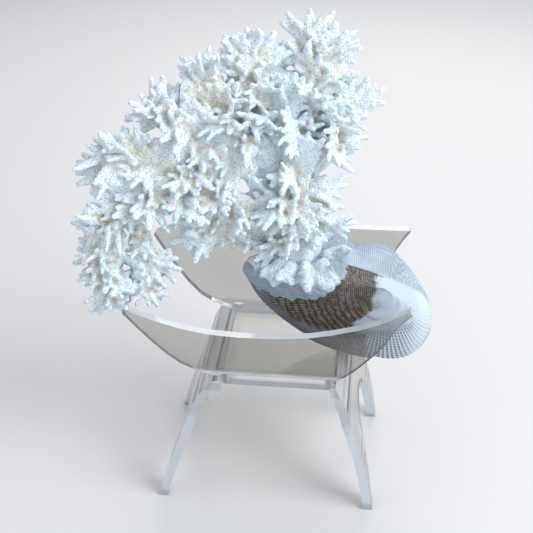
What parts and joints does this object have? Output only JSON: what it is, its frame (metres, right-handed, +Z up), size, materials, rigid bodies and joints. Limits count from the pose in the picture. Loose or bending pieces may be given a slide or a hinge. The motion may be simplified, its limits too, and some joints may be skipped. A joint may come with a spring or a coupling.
{
  "type": "branching coral",
  "caption": "Bleached branching coral arching over the closed clam shell it grew on, held in a clear acrylic cradle stand with splayed legs.",
  "frame": {"origin": "on the floor, under the middle of the whole object's box", "axes": "+Z up, +X towards the end where the shell's beak lies, +Y away from the front flap"},
  "size_m": [0.2422, 0.1236, 0.341],
  "materials": {
    "clear_acrylic": "clear, polished faces and polished cut edges",
    "clam_shell": "cross-ribbed chalky shell, brown and grey bands, worn white at the beak",
    "coral": "matt porous limestone, bleached white with cream hollows"
  },
  "bodies": {
    "root": {"cradle_stand": "clear_acrylic", "shell_front_valve": "clam_shell", "shell_back_valve": "clam_shell", "coral_base": "coral", "coral_trunk": "coral", "coral_crown": "coral", "coral_right_fan": "coral", "coral_top_fan": "coral", "coral_upper_left": "coral", "coral_left_upper": "coral", "coral_left": "coral", "coral_arch": "coral", "coral_lobe": "coral", "coral_inner_lobe": "coral", "coral_under": "coral"}
  },
  "joints": []
}
